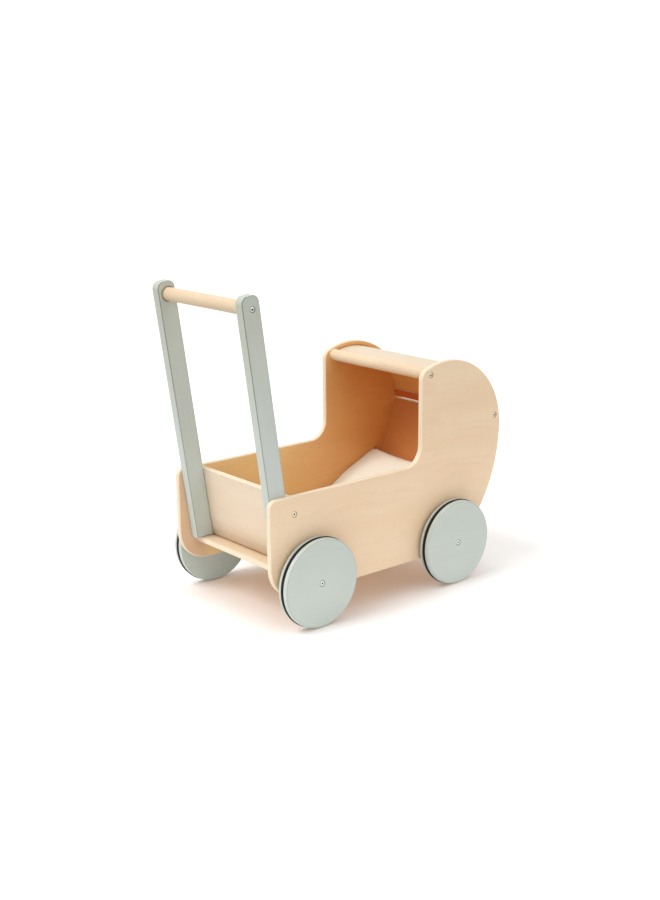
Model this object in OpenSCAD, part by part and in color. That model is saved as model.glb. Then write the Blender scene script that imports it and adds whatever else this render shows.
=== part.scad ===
// Toy doll pram in plywood: two profiled side panels carry a cradle and a hood,
// a tilted push handle stands at the rear and four solid wheels turn on two steel axles.
// X runs forwards to the hood, Y to the left side, Z up. Sizes are in millimetres.

/* [Wheels] */
// Diameter of the wooden wheel disc
wheel_d = 133; // [110:1:140]
// Thickness of the wooden wheel disc
wheel_thick = 18; // [14:1:24]
// Thickness of the rubber cord that lies in the rim's groove
tyre_cord_d = 6; // [4:0.5:8]
// How far the rubber stands proud of the rim
tyre_proud = 1; // [0.5:0.25:2]
// Rounding of the wheel disc's edges
wheel_edge_r = 2; // [1:0.5:3]
// Distance between the two axles
wheelbase = 275; // [220:1:340]
// Gap between a side panel and its wheels
wheel_gap = 4.5; // [3:0.5:8]

/* [Side panels] */
// Thickness of a side panel
panel_thick = 9; // [7:0.5:12]
// Clear width between the side panels
body_inner_w = 216; // [180:1:260]
// Height of a side panel's bottom edge
panel_bottom = 48.5; // [40:0.5:58]
// Height of the cradle's top edge
cradle_top = 198.5; // [170:0.5:220]
// Reach of the side panels behind the rear axle
rear_overhang = 75; // [60:1:90]
// Radius of the rear top corner
rear_top_r = 12; // [8:1:20]
// Radius of the rear bottom corner
rear_bottom_r = 50; // [30:1:55]
// Radius of the bottom corner ahead of the front axle
front_bottom_r = 30; // [15:1:35]
// Radius of the inside corner between the cradle's edge and the hood
notch_r = 30; // [15:1:35]

/* [Hood] */
// Radius of the hood's round outline
hood_r = 117; // [98:1:141]
// Height of the hood circle's centre
hood_centre_z = 236; // [225:1:260]
// Distance of the hood circle's centre behind the front axle
hood_setback = 5; // [0:1:15]
// Distance of the hood's open edge behind the circle's centre
hood_open_back = 55; // [40:1:75]
// Radius of the corner between the open edge and the round outline
hood_corner_r = 16; // [8:1:24]
// Radius of the long curve from the hood down to the front wheel
front_sweep_r = 230; // [200:1:280]
// Thickness of the bent roof sheet
roof_thick = 6; // [4:0.5:8]
// Distance from the hood's outline down to the roof sheet
roof_inset = 8.5; // [6:0.5:12]
// Play above the roof sheet in its grooves
roof_play = 1.4; // [0.2:0.1:2]
// Diameter of the round rail along the hood's open edge
nose_rail_d = 18; // [14:1:22]
// Distance from the open edge to the middle of the nose rail
nose_rail_back = 18; // [14:1:24]
// Height of the batten that closes the roof at the front
batten_h = 14; // [10:1:18]
// Thickness of the batten from front to back
batten_thick = 12; // [9:0.5:14]
// Angle of the batten above the hood circle's centre
batten_angle = 9.8; // [6:0.1:20]
// Angle of the batten's screws above the hood circle's centre
batten_screw_angle = 8.6; // [5:0.1:19]
// Open slot between the batten and the front board
front_slot = 4; // [2:0.5:8]

/* [Boards] */
// Thickness of the floor, rear and front boards
board_thick = 9; // [7:0.5:12]
// Height of the floor board's top
floor_top = 88; // [80:0.5:100]
// Distance of the rear board's foot behind the rear axle
rear_board_back = 24; // [15:1:35]
// Reach of the floor board behind the rear board
ledge = 21; // [12:1:30]
// Distance of the rear board's top below the cradle's edge
rear_board_drop = 1; // [0:0.5:6]
// Distance from the front board's outer face back to the floor board's front end
floor_front_set = 5; // [3:0.5:7]
// Forward lean of the front board in degrees
front_tilt = 19.5; // [10:0.5:24]
// Distance of the front board's top edge behind the batten's lower edge
front_board_set = -0.5; // [-2:0.5:4]
// Depth of the grooves in the side panels
groove_depth = 3; // [2:0.5:4]

/* [Handle] */
// Height of the handle bars' tops
handle_top = 486; // [420:1:540]
// Depth of a handle bar from front to back
bar_w = 30; // [24:1:38]
// Thickness of a handle bar
bar_thick = 15; // [12:1:20]
// Radius of the handle bar's two top corners
bar_top_r = 11; // [6:1:12]
// Backward lean of the handle and of the rear board in degrees
handle_tilt = 8; // [4:0.5:12]
// Diameter of the round grip
grip_d = 20; // [16:1:22]
// Distance of the grip's middle below the bars' tops, along the bars
grip_drop = 19.5; // [16:0.5:40]
// Distance of the grip's middle in front of the bars' middle
grip_forward = 2; // [0:0.5:3]
// Depth of the grip's sockets in the bars
grip_socket = 4; // [2:0.5:6]

/* [Fixings] */
// Diameter of a panel screw's head
screw_head_d = 8; // [7:0.5:12]
// Height of a panel screw's head
screw_head_h = 2.2; // [2:0.2:4]
// Diameter of a panel screw's shank
screw_shank_d = 4; // [3:0.5:6]
// Length of a panel screw under its head
screw_len = 40; // [30:1:50]
// Height of the lower rear board screws above the board's foot
rear_screw_low = 20; // [15:1:26]
// Distance of the upper rear board screws below the board's top
rear_screw_drop = 25; // [15:1:26]
// Distance from a rear board screw to the nearest bar screw
bar_screw_step = 18; // [14:1:20]
// Length of a bar screw under its head
bar_screw_len = 26; // [20:1:34]
// Width across the flats of the screws' hexagon sockets
socket_af = 3; // [2.5:0.5:4]
// Diameter of an axle rod
axle_d = 6; // [5:0.5:8]
// Diameter of an axle screw's head
axle_head_d = 8.5; // [7.5:0.5:9]
// Height of an axle screw's head
axle_head_h = 3; // [2:0.5:4]
// Depth of the wheel bush's outer end below the axle screw's seat
axle_head_sink = 0.5; // [0.4:0.1:1]
// Diameter of an axle screw's thread
axle_screw_d = 4; // [3:0.5:5]
// Length of an axle screw under its head
axle_screw_len = 14; // [10:1:24]
// Outer diameter of a wheel bush
bush_d = 9.5; // [9:0.5:16]
// Outer diameter of a wheel spacer
spacer_d = 20; // [16:1:26]

/* [Bedding] */
// Length of the pillow up its slope
pillow_len = 150; // [110:1:170]
// Width of the pillow
pillow_w = 200; // [160:1:210]
// Thickness of the pillow
pillow_thick = 34; // [20:1:44]
// Slope of the pillow in degrees
pillow_tilt = 22.5; // [10:0.5:32]

/* [Hidden] */

$fn = 96;
LEFT = 1;
RIGHT = -1;
BIRCH = "#e3c8a4";
SAGE = "#b4bcb4";
STEEL = "#b9bcc0";

// Clearances
glue_gap = 0.1;      // around a board in its groove, a grip in its socket, and at sheet ends
press_gap = 0.02;    // around a shank, rod or bush that is driven in
running_gap = 0.05;  // between a turning bush and its axle
tyre_gap = 0.1;      // around a tyre in its wheel's groove
axial_play = 0.3;    // along an axle, on each side of a wheel
head_gap = 0.4;      // around and above a sunk screw head
soft_gap = 0.3;      // between the pillow and the wood
over = 1;            // reach of a cutting shape past the surface it opens

// Heights and half widths
axle_z = wheel_d / 2 + tyre_proud;
inner_y = body_inner_w / 2;
panel_y = inner_y + panel_thick;
wheel_in_y = panel_y + wheel_gap;
wheel_out_y = wheel_in_y + wheel_thick;

// Hood geometry
hood_x = wheelbase - hood_setback;
open_x = hood_x - hood_open_back;
sweep_x = hood_x + hood_r - front_sweep_r;
roof_out_r = hood_r - roof_inset;
roof_in_r = roof_out_r - roof_thick;
roof_mid_r = (roof_out_r + roof_in_r) / 2;
nose_x = open_x + nose_rail_back;
nose_angle = 180 - acos((hood_x - nose_x) / roof_mid_r);
nose_tuck = nose_rail_d / 4;
roof_rear_angle = nose_angle - nose_tuck / roof_mid_r * 180 / PI;
batten_half_angle = asin(batten_h / 2 / roof_in_r);
roof_front_angle = batten_angle + batten_half_angle;
roof_end_gap = glue_gap / roof_mid_r * 180 / PI;
batten_low_x = hood_x + (roof_mid_r - batten_thick / 2) * cos(batten_angle)
    + batten_h / 2 * sin(batten_angle);
batten_low_z = hood_centre_z + (roof_mid_r - batten_thick / 2) * sin(batten_angle)
    - batten_h / 2 * cos(batten_angle);

// Boards
front_board_top = batten_low_z - front_slot;
front_foot_x = batten_low_x - front_board_set - (front_board_top - floor_top) * tan(front_tilt);
floor_rear_x = -rear_board_back - ledge;
floor_front_x = front_foot_x + board_thick / cos(front_tilt) - floor_front_set;
rear_board_len = (cradle_top - rear_board_drop - floor_top - board_thick * sin(handle_tilt))
    / cos(handle_tilt);
rear_screw_high = rear_board_len - rear_screw_drop;
bar_screw_low = rear_screw_low + bar_screw_step;
bar_screw_high = rear_screw_high - bar_screw_step;

// Handle
bar_len = (handle_top - floor_top - bar_top_r * (1 - sin(handle_tilt))) / cos(handle_tilt) + bar_top_r;
bar_mid_y = inner_y - bar_thick / 2;
bar_in_y = inner_y - bar_thick;
grip_v = bar_len - grip_drop;

// Wheels and axles
head_recess = axle_head_h + axle_head_sink;
bush_len = wheel_thick - head_recess;
axle_end_y = wheel_out_y - head_recess + axial_play;
tyre_mid_r = wheel_d / 2 + tyre_proud - tyre_cord_d / 2;
axle_rows = [0, wheelbase];

// Overall reach, which places the origin under the middle of the whole pram
rear_reach = -rear_board_back - (bar_w - bar_top_r) * cos(handle_tilt)
    - (bar_len - bar_top_r) * sin(handle_tilt) - bar_top_r;
front_reach = hood_x + hood_r;
mid_x = (rear_reach + front_reach) / 2;

// ---- Placing ----

// Moves a piece from axle coordinates to the pram's own frame.
module place() {
    translate([-mid_x, 0, 0]) children();
}

// Draws its children for the left side, or mirrored for the right.
module on_side(side) {
    mirror([0, side == LEFT ? 0 : 1, 0]) children();
}

module on_both_sides() {
    for (side = [LEFT, RIGHT])
        on_side(side) children();
}

// Extrudes an outline in X and Z from y0 to y1.
module slab(y0, y1) {
    translate([0, y1, 0]) rotate([90, 0, 0]) linear_extrude(y1 - y0) children();
}

// Frame of the leaning handle: X across the rear board, Z up the bars, from the board's foot.
module handle_frame() {
    translate([-rear_board_back, 0, floor_top]) rotate([0, -handle_tilt, 0]) children();
}

// A cylinder along +Y from y0 to y1.
module rod_y(r, y0, y1) {
    translate([0, y1, 0]) rotate([90, 0, 0]) cylinder(r = r, h = y1 - y0);
}

// Moves to an angle on the roof's arc, midway through its thickness.
module on_roof_arc(angle) {
    translate([hood_x, 0, hood_centre_z]) rotate([0, -angle, 0])
        translate([roof_mid_r, 0, 0]) children();
}

// Moves to the side of the rear board, at a height up its slope.
module on_rear_board(height) {
    handle_frame() translate([board_thick / 2, 0, height]) children();
}

// ---- Screws ----

// A screw along -Y whose head's outer face lies at y = 0.
module screw(head_d, head_h, shank_d, len) {
    socket_depth = head_h * 0.7;
    difference() {
        rod_y(head_d / 2, -head_h, 0);
        translate([0, over, 0]) rotate([90, 0, 0]) rotate([0, 0, 30])
            cylinder(d = socket_af / cos(30), h = socket_depth + over, $fn = 6);
    }
    rod_y(shank_d / 2, -head_h - len, -head_h);
}

module panel_screw() {
    color(STEEL) translate([0, panel_y - head_gap / 2, 0])
        screw(screw_head_d, screw_head_h, screw_shank_d, screw_len);
}

// The hole that a panel screw needs, through the side panel and into the wood behind it.
module panel_screw_hole() {
    rod_y(screw_head_d / 2 + head_gap, panel_y - head_gap / 2 - screw_head_h, panel_y + over);
    rod_y(screw_shank_d / 2 + press_gap, panel_y - screw_head_h - screw_len - over, panel_y);
}

module bar_screw_place(height) {
    handle_frame() translate([board_thick - head_gap / 2, bar_mid_y, height])
        rotate([0, 0, -90]) children();
}

module bar_screw_hole(height) {
    bar_screw_place(height) {
        rod_y(screw_head_d / 2 + head_gap, -screw_head_h, over);
        rod_y(screw_shank_d / 2 + press_gap, -screw_head_h - bar_screw_len - over, 0);
    }
}

// ---- Side panels ----

// Region outside a circle of radius r within a corner, between directions a and b from its centre.
module corner_waste(centre, r, a, b) {
    reach = r * 1.6;
    difference() {
        polygon([centre, centre + a * reach, centre + (a + b) * reach, centre + b * reach]);
        translate(centre) circle(r = r);
    }
}

module sweep_disc() {
    translate([sweep_x, hood_centre_z]) circle(r = front_sweep_r, $fn = 240);
}

module side_outline() {
    nose_corner_x = open_x + hood_corner_r;
    nose_corner_z = hood_centre_z
        + sqrt(pow(hood_r - hood_corner_r, 2) - pow(hood_x - nose_corner_x, 2));
    nose_dir = [nose_corner_x - hood_x, nose_corner_z - hood_centre_z] / (hood_r - hood_corner_r);
    chin_z = panel_bottom + front_bottom_r;
    chin_x = sweep_x
        + sqrt(pow(front_sweep_r - front_bottom_r, 2) - pow(hood_centre_z - chin_z, 2));
    chin_dir = [chin_x - sweep_x, chin_z - hood_centre_z] / (front_sweep_r - front_bottom_r);
    difference() {
        union() {
            translate([-rear_overhang, panel_bottom])
                square([rear_overhang + sweep_x, cradle_top - panel_bottom]);
            intersection() {
                sweep_disc();
                union() {
                    translate([sweep_x, panel_bottom])
                        square([front_sweep_r, cradle_top - panel_bottom]);
                    translate([open_x, panel_bottom])
                        square([front_sweep_r, hood_centre_z - panel_bottom]);
                }
            }
            intersection() {
                translate([hood_x, hood_centre_z]) circle(r = hood_r, $fn = 180);
                translate([open_x, hood_centre_z]) square([2 * hood_r, hood_r]);
            }
            translate([open_x - notch_r, cradle_top]) difference() {
                square(notch_r);
                translate([0, notch_r]) circle(r = notch_r);
            }
        }
        corner_waste([-rear_overhang + rear_top_r, cradle_top - rear_top_r],
            rear_top_r, [-1, 0], [0, 1]);
        corner_waste([-rear_overhang + rear_bottom_r, panel_bottom + rear_bottom_r],
            rear_bottom_r, [-1, 0], [0, -1]);
        corner_waste([nose_corner_x, nose_corner_z], hood_corner_r, [-1, 0], nose_dir);
        corner_waste([chin_x, chin_z], front_bottom_r, [0, -1], chin_dir);
    }
}

function ray(angle) = [cos(angle), sin(angle)];

// Sector between two angles, for the bent roof sheet.
module roof_sector(r_in, r_out, angle_0, angle_1) {
    far = r_out * 1.5;
    mid = (angle_0 + angle_1) / 2;
    translate([hood_x, hood_centre_z]) difference() {
        circle(r = r_out, $fn = 180);
        circle(r = r_in, $fn = 180);
        polygon([[0, 0], far * ray(angle_1), far * ray(angle_1 + 70), far * ray(mid + 180),
            far * ray(angle_0 - 70), far * ray(angle_0)]);
    }
}

module front_board_outline(gap) {
    lean = tan(front_tilt);
    rise = front_board_top - floor_top;
    depth = board_thick / cos(front_tilt);
    translate([front_foot_x, floor_top])
        polygon([[-gap, 0], [depth + gap, 0],
            [depth + gap + (rise + gap) * lean, rise + gap], [-gap + (rise + gap) * lean, rise + gap]]);
}

module floor_outline(gap) {
    translate([floor_rear_x - gap, floor_top - board_thick - gap])
        square([floor_front_x - floor_rear_x + 2 * gap, board_thick + 2 * gap]);
}

// The left panel, with its grooves on the inner face.
module side_panel() {
    color(BIRCH) difference() {
        slab(inner_y, panel_y) side_outline();
        slab(inner_y - over, inner_y + groove_depth) {
            floor_outline(glue_gap);
            front_board_outline(glue_gap);
            roof_sector(roof_in_r - glue_gap, roof_out_r + roof_play,
                roof_front_angle, roof_rear_angle + roof_end_gap);
        }
        for (x = axle_rows)
            translate([x, 0, axle_z]) rod_y(axle_d / 2 + press_gap, inner_y - over, panel_y + over);
        on_roof_arc(nose_angle) panel_screw_hole();
        on_roof_arc(batten_screw_angle) panel_screw_hole();
        for (height = [rear_screw_low, rear_screw_high])
            on_rear_board(height) panel_screw_hole();
    }
}

// ---- Boards and rails between the panels ----

module floor_board() {
    tongue_y = inner_y + groove_depth - glue_gap;
    color(BIRCH) slab(-tongue_y, tongue_y) floor_outline(0);
}

module rear_board() {
    color(BIRCH) difference() {
        handle_frame() translate([0, -inner_y, -board_thick])
            cube([board_thick, body_inner_w, rear_board_len + board_thick]);
        translate([-rear_board_back - bar_w, -panel_y, floor_top - 2 * board_thick])
            cube([2 * bar_w, 2 * panel_y, 2 * board_thick]);
        on_both_sides() {
            for (height = [rear_screw_low, rear_screw_high])
                on_rear_board(height) panel_screw_hole();
            for (height = [bar_screw_low, bar_screw_high])
                bar_screw_hole(height);
        }
    }
}

module front_board() {
    tongue_y = inner_y + groove_depth - glue_gap;
    color(BIRCH) slab(-tongue_y, tongue_y) front_board_outline(0);
}

module hood_roof() {
    tongue_y = inner_y + groove_depth - glue_gap;
    color(BIRCH) slab(-tongue_y, tongue_y)
        roof_sector(roof_in_r, roof_out_r, roof_front_angle + roof_end_gap, roof_rear_angle);
}

module hood_nose_rail() {
    color(BIRCH) difference() {
        on_roof_arc(nose_angle) rod_y(nose_rail_d / 2, -inner_y, inner_y);
        slab(-inner_y - over, inner_y + over)
            roof_sector(roof_in_r - glue_gap, roof_out_r + glue_gap,
                roof_front_angle, roof_rear_angle + roof_end_gap);
        on_both_sides() on_roof_arc(nose_angle) panel_screw_hole();
    }
}

module hood_front_batten() {
    color(BIRCH) difference() {
        on_roof_arc(batten_angle) cube([batten_thick, body_inner_w, batten_h], center = true);
        on_both_sides() on_roof_arc(batten_screw_angle) panel_screw_hole();
    }
}

// ---- Handle ----

// The left handle bar, which stands on the floor board's ledge behind the rear board.
module handle_bar() {
    color(SAGE) difference() {
        handle_frame() slab(bar_in_y, inner_y) difference() {
            translate([-bar_w, -bar_w]) square([bar_w, bar_len + bar_w]);
            corner_waste([-bar_top_r, bar_len - bar_top_r], bar_top_r, [1, 0], [0, 1]);
            corner_waste([-bar_w + bar_top_r, bar_len - bar_top_r], bar_top_r, [-1, 0], [0, 1]);
        }
        translate([-rear_board_back - 2 * bar_w, 0, floor_top - 2 * bar_w])
            cube([3 * bar_w, panel_y, 2 * bar_w]);
        for (height = [bar_screw_low, bar_screw_high])
            bar_screw_hole(height);
        on_grip() {
            rod_y(grip_d / 2 + glue_gap, bar_in_y - over, bar_in_y + grip_socket);
            rod_y(screw_shank_d / 2 + press_gap, bar_in_y, panel_y);
            rod_y(screw_head_d / 2 + head_gap, inner_y - head_gap / 2 - screw_head_h, panel_y);
        }
    }
}

module on_grip() {
    handle_frame() translate([grip_forward - bar_w / 2, 0, grip_v]) children();
}

module handle_grip() {
    end_y = bar_in_y + grip_socket;
    screw_end = inner_y - screw_head_h - screw_len - over;
    color("#e6cda8") on_grip() difference() {
        rod_y(grip_d / 2, -end_y, end_y);
        on_both_sides() rod_y(screw_shank_d / 2 + press_gap, screw_end, end_y + over);
    }
}

module grip_screws() {
    color(STEEL) on_both_sides() on_grip() translate([0, inner_y - head_gap / 2, 0])
        screw(screw_head_d, screw_head_h, screw_shank_d, screw_len);
}

module nose_rail_screws() {
    on_both_sides() on_roof_arc(nose_angle) panel_screw();
}

module batten_screws() {
    on_both_sides() on_roof_arc(batten_screw_angle) panel_screw();
}

module rear_board_screws() {
    for (height = [rear_screw_low, rear_screw_high])
        on_both_sides() on_rear_board(height) panel_screw();
}

module bar_screws() {
    color(STEEL) for (height = [bar_screw_low, bar_screw_high])
        on_both_sides() bar_screw_place(height)
            screw(screw_head_d, screw_head_h, screw_shank_d, bar_screw_len);
}

// ---- Axles and wheels ----

module axle(x) {
    color(STEEL) translate([x, 0, axle_z]) difference() {
        rod_y(axle_d / 2, -axle_end_y, axle_end_y);
        on_both_sides()
            rod_y(axle_screw_d / 2 + press_gap, axle_end_y - axle_screw_len - over, axle_end_y + over);
    }
}

module axle_spacers() {
    color("#d8d8d4") for (x = axle_rows)
        translate([x, 0, axle_z]) on_both_sides() difference() {
            rod_y(spacer_d / 2, panel_y, wheel_in_y - axial_play);
            rod_y(axle_d / 2 + press_gap, panel_y - over, wheel_in_y);
        }
}

module axle_screws() {
    color(STEEL) for (x = axle_rows)
        translate([x, 0, axle_z]) on_both_sides() translate([0, axle_end_y + axle_head_h, 0])
            screw(axle_head_d, axle_head_h, axle_screw_d, axle_screw_len);
}

// Turns a piece drawn about +Z onto a wheel's axle, with z = 0 at the wheel's inner face.
module on_wheel(x, side) {
    translate([x, 0, axle_z]) on_side(side) translate([0, wheel_in_y, 0]) rotate([-90, 0, 0]) children();
}

module wheel(x, side) {
    outer_r = wheel_d / 2;
    edge_x = outer_r - wheel_edge_r;
    groove_w = tyre_cord_d + 2 * tyre_gap;
    color(SAGE) on_wheel(x, side) rotate_extrude($fn = 180) difference() {
        union() {
            square([edge_x, wheel_thick]);
            translate([0, wheel_edge_r]) square([outer_r, wheel_thick - 2 * wheel_edge_r]);
            for (z = [wheel_edge_r, wheel_thick - wheel_edge_r])
                translate([edge_x, z]) circle(r = wheel_edge_r, $fn = 32);
        }
        translate([0, -over]) square([bush_d / 2 + press_gap, wheel_thick + 2 * over]);
        translate([tyre_mid_r, wheel_thick / 2]) circle(d = groove_w, $fn = 48);
        translate([tyre_mid_r, wheel_thick / 2 - groove_w / 2]) square(groove_w);
    }
}

module tyre(x, side) {
    color("#26282a") on_wheel(x, side) rotate_extrude($fn = 180)
        translate([tyre_mid_r, wheel_thick / 2]) circle(d = tyre_cord_d, $fn = 48);
}

module bush(x, side) {
    color("#efefea") on_wheel(x, side) difference() {
        cylinder(d = bush_d, h = bush_len);
        translate([0, 0, -over]) cylinder(r = axle_d / 2 + running_gap, h = bush_len + 2 * over);
    }
}

// ---- Bedding ----

// The pillow lies on the floor board and leans against the front board.
module pillow() {
    r = pillow_thick / 2;
    span = pillow_len - pillow_thick;
    foot_z = floor_top + r + soft_gap;
    head_z = foot_z + span * sin(pillow_tilt);
    wall_x = front_foot_x + (head_z - floor_top) * tan(front_tilt);
    head_x = wall_x - (r + soft_gap) / cos(front_tilt);
    foot_x = head_x - span * cos(pillow_tilt);
    color("#efe8dc") hull()
        for (end = [[foot_x, foot_z], [head_x, head_z]], side = [LEFT, RIGHT])
            translate([end[0], side * (pillow_w / 2 - r), end[1]]) sphere(r = r, $fn = 32);
}

place() on_side(LEFT) side_panel();  // side_panel_left
place() on_side(RIGHT) side_panel();  // side_panel_right
place() floor_board();
place() rear_board();
place() front_board();
place() hood_roof();
place() hood_nose_rail();
place() hood_front_batten();
place() on_side(LEFT) handle_bar();  // handle_bar_left
place() on_side(RIGHT) handle_bar();  // handle_bar_right
place() handle_grip();
place() grip_screws();
place() nose_rail_screws();
place() batten_screws();
place() rear_board_screws();
place() bar_screws();
place() axle(0);  // axle_rear
place() axle(wheelbase);  // axle_front
place() axle_spacers();
place() axle_screws();
place() wheel(0, LEFT);  // wheel_rear_left
place() wheel(0, RIGHT);  // wheel_rear_right
place() wheel(wheelbase, LEFT);  // wheel_front_left
place() wheel(wheelbase, RIGHT);  // wheel_front_right
place() tyre(0, LEFT);  // tyre_rear_left
place() tyre(0, RIGHT);  // tyre_rear_right
place() tyre(wheelbase, LEFT);  // tyre_front_left
place() tyre(wheelbase, RIGHT);  // tyre_front_right
place() bush(0, LEFT);  // bush_rear_left
place() bush(0, RIGHT);  // bush_rear_right
place() bush(wheelbase, LEFT);  // bush_front_left
place() bush(wheelbase, RIGHT);  // bush_front_right
place() pillow();
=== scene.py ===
import math

import bmesh
import bpy
import numpy as np
from mathutils import Matrix, Vector
from mathutils.geometry import delaunay_2d_cdt


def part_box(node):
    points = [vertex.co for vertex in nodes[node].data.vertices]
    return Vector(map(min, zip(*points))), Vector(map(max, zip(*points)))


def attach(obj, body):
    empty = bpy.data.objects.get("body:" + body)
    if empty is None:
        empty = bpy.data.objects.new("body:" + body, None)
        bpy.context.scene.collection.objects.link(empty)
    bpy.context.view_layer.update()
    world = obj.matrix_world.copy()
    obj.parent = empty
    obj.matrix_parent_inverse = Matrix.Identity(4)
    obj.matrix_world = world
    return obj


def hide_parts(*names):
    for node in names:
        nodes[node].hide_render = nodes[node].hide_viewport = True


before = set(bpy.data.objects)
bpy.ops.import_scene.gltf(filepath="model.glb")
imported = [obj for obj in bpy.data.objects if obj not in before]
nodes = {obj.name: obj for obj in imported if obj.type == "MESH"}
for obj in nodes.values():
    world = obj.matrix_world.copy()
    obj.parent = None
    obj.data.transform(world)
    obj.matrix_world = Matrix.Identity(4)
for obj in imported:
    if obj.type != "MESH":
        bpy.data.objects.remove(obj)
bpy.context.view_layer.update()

# ---- The camera ----
# A long lens stands two metres off the pram's right rear corner, a little above the handle. It
# looks slightly down, and is turned a touch about its own axis.
camera_place = Vector((-1.2642, -1.4954, 0.7333))
camera_back = Vector((-0.6220, -0.7396, 0.2571)).normalized()
camera_roll = math.radians(-0.37)
camera_right = Vector((0, 0, 1)).cross(camera_back).normalized()
camera_axes = Matrix((camera_right, camera_back.cross(camera_right), camera_back)).transposed()
camera_turn = (camera_axes @ Matrix.Rotation(camera_roll, 3, "Z")).to_quaternion()
camera_data = bpy.data.cameras.new("camera")
camera_data.sensor_fit = "HORIZONTAL"
camera_data.sensor_width = 36
camera_data.lens = 71.7
camera_data.clip_end = 60
camera = bpy.data.objects.new("camera", camera_data)
camera.matrix_world = Matrix.LocRotScale(camera_place, camera_turn, None)
bpy.context.scene.collection.objects.link(camera)
bpy.context.scene.camera = camera


# ---- The studio ----
# The pram stands on a white table top that runs back into white. A broad, soft key light falls from
# the handle's end, a weak fill light comes from the pram's right, and a glow from all round.
def add(tree, kind, inputs=None, **settings):
    """Adds a shader or geometry node; an input is a plain value or another node's output."""
    node = tree.nodes.new(kind)
    for key, value in settings.items():
        setattr(node, key, value)
    for key, value in (inputs or {}).items():
        if isinstance(value, bpy.types.NodeSocket):
            tree.links.new(value, node.inputs[key])
        else:
            node.inputs[key].default_value = value
    return node


def new_material(name, base, roughness, metallic=0.0):
    """A material with its Principled shader, whose plain settings are its own sockets' values."""
    material = bpy.data.materials.new(name)
    material.use_nodes = True
    shader = material.node_tree.nodes["Principled BSDF"]
    shader.inputs["Base Color"].default_value = (*base, 1)
    shader.inputs["Roughness"].default_value = roughness
    shader.inputs["Metallic"].default_value = metallic
    return material, material.node_tree, shader


def mesh_object(name, bm, material, crease=32):
    """Makes a finished bmesh an object of its own, smooth but for its sharp corners."""
    mesh = bpy.data.meshes.new(name)
    bm.to_mesh(mesh)
    bm.free()
    mesh.materials.append(material)
    mesh.shade_smooth()
    mesh.set_sharp_from_angle(angle=math.radians(crease))
    piece = bpy.data.objects.new(name, mesh)
    bpy.context.scene.collection.objects.link(piece)
    return piece


def own_place(tree):
    """A point's place in metres, in the frame that the whole pram shares."""
    return add(tree, "ShaderNodeTexCoord").outputs["Object"]


def maths(tree, operation, *values):
    """One sum on plain values or outputs."""
    return add(tree, "ShaderNodeMath", dict(enumerate(values)), operation=operation).outputs[0]


def band(tree, value, low, high, bottom=0.0, top=1.0):
    """Smoothly maps low to high onto bottom to top, clamped."""
    node = add(tree, "ShaderNodeMapRange", {
        "Value": value, "From Min": low, "From Max": high, "To Min": bottom, "To Max": top},
        interpolation_type="SMOOTHSTEP")
    return node.outputs[0]


def mixed(tree, factor, low, high, kind="MIX"):
    """A mix of two colours, each plain or an output."""
    node = add(tree, "ShaderNodeMix", {"Factor": factor}, data_type="RGBA", blend_type=kind)
    for socket, value in ((node.inputs[6], low), (node.inputs[7], high)):
        if isinstance(value, bpy.types.NodeSocket):
            tree.links.new(value, socket)
        else:
            socket.default_value = (*value, 1)
    return node.outputs[2]


# The table's bounce is strongest around the pram. Beneath the pram a painted shadow darkens it, and a painted
# warm glow there stands for the light that the wood above throws down. A faint painted glow elsewhere lifts
# its shadows. From below it is clear, so that the pram's underside shows.
near_white, far_grey = 0.95, 0.3
painted_shade_under_pram = 0.27
painted_plain_glow, painted_warm_glow, painted_glow_strength = (0.8, 0.8, 0.8), (1.0, 0.42, 0.14), 0.2
table_half = 14.0
table_top, tree, shader = new_material("table_top", (0.88, 0.88, 0.88), 0.8)
shader.inputs["Specular IOR Level"].default_value = 0.2
table_place = own_place(tree)
reach = add(tree, "ShaderNodeVectorMath", {0: table_place}, operation="LENGTH").outputs["Value"]
seen = add(tree, "ShaderNodeLightPath").outputs["Is Camera Ray"]
table_axes = add(tree, "ShaderNodeSeparateXYZ", {0: table_place})
beneath = maths(tree, "MULTIPLY",
                band(tree, maths(tree, "ABSOLUTE", table_axes.outputs["X"]), 0.14, 0.26, 1.0, 0.0),
                band(tree, maths(tree, "ABSOLUTE", table_axes.outputs["Y"]), 0.08, 0.2, 1.0, 0.0))
# Painted shadow: the camera sees the table darker beneath the pram.
shown = maths(tree, "SUBTRACT", near_white, maths(tree, "MULTIPLY", beneath, painted_shade_under_pram))
bounced = band(tree, reach, 0.4, 1.2, near_white, far_grey)
table_white = add(tree, "ShaderNodeMix", {"Factor": seen, "A": bounced, "B": shown}, data_type="FLOAT")
tree.links.new(table_white.outputs[0], shader.inputs["Base Color"])
# Painted glow, seen only by the camera: faint over the table, and warm beneath the pram for the wood's bounce
# light.
tree.links.new(mixed(tree, beneath, painted_plain_glow, painted_warm_glow), shader.inputs["Emission Color"])
tree.links.new(maths(tree, "MULTIPLY", seen, painted_glow_strength), shader.inputs["Emission Strength"])
from_below = maths(tree, "MULTIPLY", seen, add(tree, "ShaderNodeNewGeometry").outputs["Backfacing"])
clear = add(tree, "ShaderNodeBsdfTransparent").outputs["BSDF"]
one_way = add(tree, "ShaderNodeMixShader", {0: from_below, 1: shader.outputs["BSDF"], 2: clear})
tree.links.new(one_way.outputs[0], tree.nodes["Material Output"].inputs["Surface"])
bm = bmesh.new()
bmesh.ops.create_grid(bm, x_segments=1, y_segments=1, size=table_half)
mesh_object("light_table", bm, table_top)

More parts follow.
